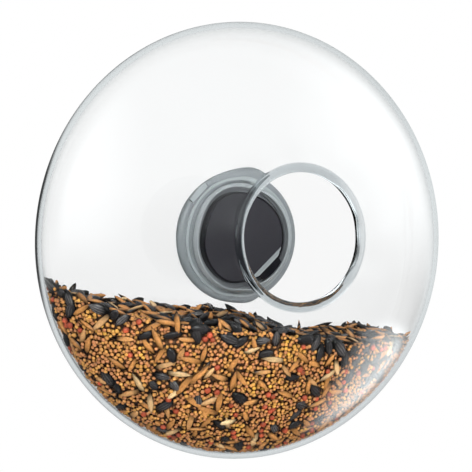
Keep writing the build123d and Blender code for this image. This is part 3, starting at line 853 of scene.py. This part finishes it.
class FEEDER_OT_stage(Operator):
    """Sets the camera, the floor and the light"""

    bl_idname = "feeder.stage"
    bl_label = "Stage"

    def execute(self, context):
        stage, scene = context.scene.feeder_stage, context.scene
        scene.view_settings.view_transform = "Standard"
        camera = bpy.data.objects.new("camera", bpy.data.cameras.new("camera"))
        scene.collection.objects.link(camera)
        lens = camera.data
        lens.sensor_fit, lens.sensor_width = "HORIZONTAL", 36
        lens.lens = lens.sensor_width * stage.focal_share
        lens.clip_start, lens.clip_end = 0.01, 50
        lens.shift_x, lens.shift_y = 0.001, 0.002
        flat = math.cos(stage.elevation)
        seen_from = Vector((
            -math.sin(stage.azimuth) * flat, -math.cos(stage.azimuth) * flat, math.sin(stage.elevation),
        ))
        camera.location = seen_from * stage.distance
        camera.rotation_euler = at_hub(seen_from)
        scene.camera = camera

        floor = surface_mesh("floor", pale_floor(), *round_floor(stage))
        studio_world(scene)

        for name, place, size, watts in LAMPS:
            lamp = bpy.data.objects.new(name, bpy.data.lights.new(name, "AREA"))
            lamp.data.shape, lamp.data.size, lamp.data.energy = "SQUARE", size, watts
            lamp.location, lamp.rotation_euler = place, at_hub(place)
            lamp.visible_camera = lamp.visible_transmission = lamp.visible_glossy = False
            scene.collection.objects.link(lamp)
        # A bare point lamp puts a small bright spot on each seed and none on the glass
        glint = bpy.data.objects.new("glint_light", bpy.data.lights.new("glint_light", "POINT"))
        glint.data.shadow_soft_size, glint.data.energy = 0.0, 24.0
        glint.location = (-0.5, -1.3, 0.4)
        scene.collection.objects.link(glint)
        return {"FINISHED"}


class FEEDER_OT_globe(Operator):
    """Blows the globe"""

    bl_idname = "feeder.globe"
    bl_label = "Globe"

    def execute(self, context):
        globe = context.scene.feeder_globe
        piece = surface_mesh("blown_globe", blown_soda_lime_glass(globe), *blown_wall(globe))
        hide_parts("glass_globe")
        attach(piece, "globe")
        return {"FINISHED"}


class FEEDER_OT_long_seeds(Operator):
    """Lays the sunflower seeds and the oats, thick along the top and scattered below"""

    bl_idname = "feeder.long_seeds"
    bl_label = "Sunflower seeds and oats"

    def execute(self, context):
        seeds = context.scene.feeder_seed
        random = np.random.default_rng(seeds.seed)
        LAID.clear()

        # Black sunflower hulls: matt, nearly black, a few with pale stripes
        swell = (0.45, 0.85, 1.0, 0.8, 0.42)
        shape = grain_shape((-0.5, -0.42, -0.25, 0.0, 0.22, 0.38, 0.5), 8, 0.52, 0.3, swell)
        hull = seeds.sunflower_hull
        skin = grain_material("sunflower_hull", hull, [c * 3.0 for c in hull], 0.26, 0.0, stripe=0.3)
        lay_long(
            context, random, "sunflower_seeds", seeds.sunflower, shape, skin,
            inset=0.17, pitch=0.6, sink=1.2, shares=((7, 0.6), (14, 0.28)), rest=0.16,
            top_inset=0.35, top_pitch=0.55, lean=0.18, top_share=0.28, fade=2, tilt=0.22, breadth=0.27,
        )

        # Oat hulls: golden brown, smooth and slender, creased along one side
        swell = (0.5, 0.9, 1.0, 0.82, 0.42)
        shape = grain_shape((-0.5, -0.42, -0.26, -0.02, 0.2, 0.36, 0.5), 8, 0.25, 0.21, swell, crease=0.3)
        skin = grain_material("oat_hull", seeds.oat_hull, seeds.husk, 0.26, 0.35)
        lay_long(
            context, random, "oats", seeds.oat, shape, skin,
            inset=0.13, pitch=0.5, sink=1.0, shares=((14, 0.55),), rest=0.5,
            top_inset=0.3, top_pitch=0.45, lean=0.25, top_share=0.8, fade=12, tilt=0.18, breadth=0.16,
        )
        return {"FINISHED"}


class FEEDER_OT_round_seeds(Operator):
    """Lays the sorghum and the millet round the long seeds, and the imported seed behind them"""

    bl_idname = "feeder.round_seeds"
    bl_label = "Millet and sorghum"

    def execute(self, context):
        globe, seeds = context.scene.feeder_globe, context.scene.feeder_seed
        random = np.random.default_rng(seeds.seed + 1)

        # Sorghum bran: red-brown and smooth, darker at the germ's end
        size, bran = seeds.sorghum, seeds.sorghum_bran
        places = some(wall_places(globe, seeds, size, 0.5, 1.15, 1 * MM, random), 0.17, random)
        count = len(places[0])
        shape = grain_shape((-0.5, -0.38, -0.12, 0.17, 0.41, 0.5), 8, 1.0, 0.9)
        skin = grain_material("sorghum_bran", bran, [c * 1.6 for c in bran], 0.2, 0.6)
        sizes, tones = size * random.uniform(0.85, 1.1, count), random.uniform(0, 1, count)
        pieces = [lay(context, "sorghum", shape, places, sizes, tones, 0.5, 0.5 * size, 0.5 * size, skin, random)]

        # Millet skin: glossy and round, tan with drifts of yellow. Each layer has its depth and pitch in grains,
        # how far under the top it starts in millimetres, and how many kinds laid before it keeps clear of
        size, before = seeds.millet, len(LAID)
        shape = grain_shape((-0.5, -0.36, -0.1, 0.18, 0.4, 0.5), 6, 1.0, 0.9)
        skin = grain_material("millet_skin", seeds.millet_tan, seeds.millet_yellow, 0.16, 0.35)
        layers = (("millet_front", 0.55, 1.02, 0.0, before), ("millet_behind", 1.35, 1.25, 1.0, 0))
        for name, deep, apart, below, past in layers:
            points, normals, _ = wall_places(globe, seeds, size, deep, apart, below * MM, random)
            count = len(points)
            points = points - normals * random.uniform(0, 0.3, (count, 1)) * size
            x, y, z = points.T
            drift = np.sin(x * 160 + 2) * np.sin(z * 190) + np.sin(y * 140 + x * 90)
            tones = random.uniform(-0.15, 0.5, count) + 0.6 * (drift > 1.0) * random.uniform(0, 1, count)
            tones, sizes = np.clip(tones, 0, 1), size * random.uniform(0.85, 1.12, count)
            places = points, normals
            pieces.append(lay(context, name, shape, places, sizes, tones, 0.6, size, size, skin, random, past))
        points, normals = top_places(globe, seeds, size, 0.5, 1, random)
        places, count = (points - normals * 0.8 * size, normals), len(points)
        sizes, tones = size * random.uniform(0.85, 1.12, count), random.uniform(0, 0.6, count)
        pieces.append(lay(context, "millet_top", shape, places, sizes, tones, 0.6, size, size, skin, random, before))

        core = heap_core(globe, seeds, globe.wall + seeds.gap + 1.9 * size, 1.6 * size)
        core = surface_mesh("seed_core", packed_seed(seeds), *core)
        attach(core, "globe")
        for piece in (*pieces, core):
            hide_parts("seed_bed")
        return {"FINISHED"}


class FEEDER_OT_cup(Operator):
    """Moulds the suction cup: the ring, the web and the tab go with the mount, and the boss goes with the stud"""

    bl_idname = "feeder.cup"
    bl_label = "Suction cup"

    def execute(self, context):
        cup = context.scene.feeder_cup
        slope, lapped = cup.hollow + cup.web, cup.boss - 0.2 * MM
        ring = turned([
            (cup.hollow, 0), (cup.radius - cup.bevel, 0), (cup.radius, cup.bevel), (cup.radius, cup.rim),
            (slope, cup.rim),
        ], closed=True)
        web = turned([
            (lapped, cup.draw), (cup.hollow, 0), (slope, cup.rim), (lapped, cup.draw + cup.web),
        ], closed=True)
        boss = turned([
            (0, cup.draw), (cup.boss, cup.draw), (cup.boss, cup.boss_front), (cup.bore, cup.boss_front),
            (cup.bore, cup.head_front), (cup.head, cup.head_front), (cup.head, cup.head_back), (0, cup.head_back),
        ], closed=False)
        skin = finish(context, "moulded_silicone_cup")
        shapes = (
            ("cup_ring", ring, "mount"), ("cup_web", web, "mount"), ("cup_boss", boss, "stud"),
            ("cup_tab", release_tab(cup), "mount"),
        )
        for name, shape, body in shapes:
            piece = surface_mesh(name, skin, *shape)
            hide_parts("suction_cup")
            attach(piece, body)
            if name == "cup_tab":
                piece.data.shade_flat()
            if name == "cup_web":
                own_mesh(piece)
        return {"FINISHED"}


class FEEDER_OT_finishes(Operator):
    """Finishes the mount, the knob and the fittings in their own slots"""

    bl_idname = "feeder.finishes"
    bl_label = "Finishes"

    def execute(self, context):
        for name, look in FINISHES.items():
            pieces = look[6:]
            material = finish(context, name) if pieces else None
            for piece in pieces:
                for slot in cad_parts[piece].material_slots:
                    slot.material = material
        return {"FINISHED"}


OPERATORS = (
    FEEDER_OT_stage, FEEDER_OT_globe, FEEDER_OT_long_seeds, FEEDER_OT_round_seeds, FEEDER_OT_cup, FEEDER_OT_finishes,
)
GROUPS = (
    ("feeder_globe", GlobeSettings), ("feeder_cup", CupSettings), ("feeder_seed", SeedSettings),
    ("feeder_finish", FinishSettings), ("feeder_stage", StageSettings),
)


class FEEDER_PT_panel(Panel):
    """Lists the feeder's pieces and their sizes and colours"""

    bl_idname = "FEEDER_PT_panel"
    bl_label = "Window bird feeder"
    bl_space_type = "VIEW_3D"
    bl_region_type = "UI"
    bl_category = "Feeder"

    def draw(self, context):
        for operator in OPERATORS:
            self.layout.operator(operator.bl_idname)
        for name, group in GROUPS:
            box = self.layout.box()
            for field in group.__annotations__:
                box.prop(getattr(context.scene, name), field, text=field.replace("_", " ").capitalize())


def register():
    """Registers the classes and puts the settings on the scene."""
    for name, group in GROUPS:
        bpy.utils.register_class(group)
        setattr(bpy.types.Scene, name, PointerProperty(type=group))
    for item in (*OPERATORS, FEEDER_PT_panel):
        bpy.utils.register_class(item)


def unregister():
    """Takes the settings and the classes away again."""
    for item in (FEEDER_PT_panel, *reversed(OPERATORS)):
        bpy.utils.unregister_class(item)
    for name, group in reversed(GROUPS):
        delattr(bpy.types.Scene, name)
        bpy.utils.unregister_class(group)


def main():
    """Registers the add-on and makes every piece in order."""
    register()
    for operator in OPERATORS:
        group, name = operator.bl_idname.split(".")
        getattr(getattr(bpy.ops, group), name)()


if __name__ == "__main__":
    main()
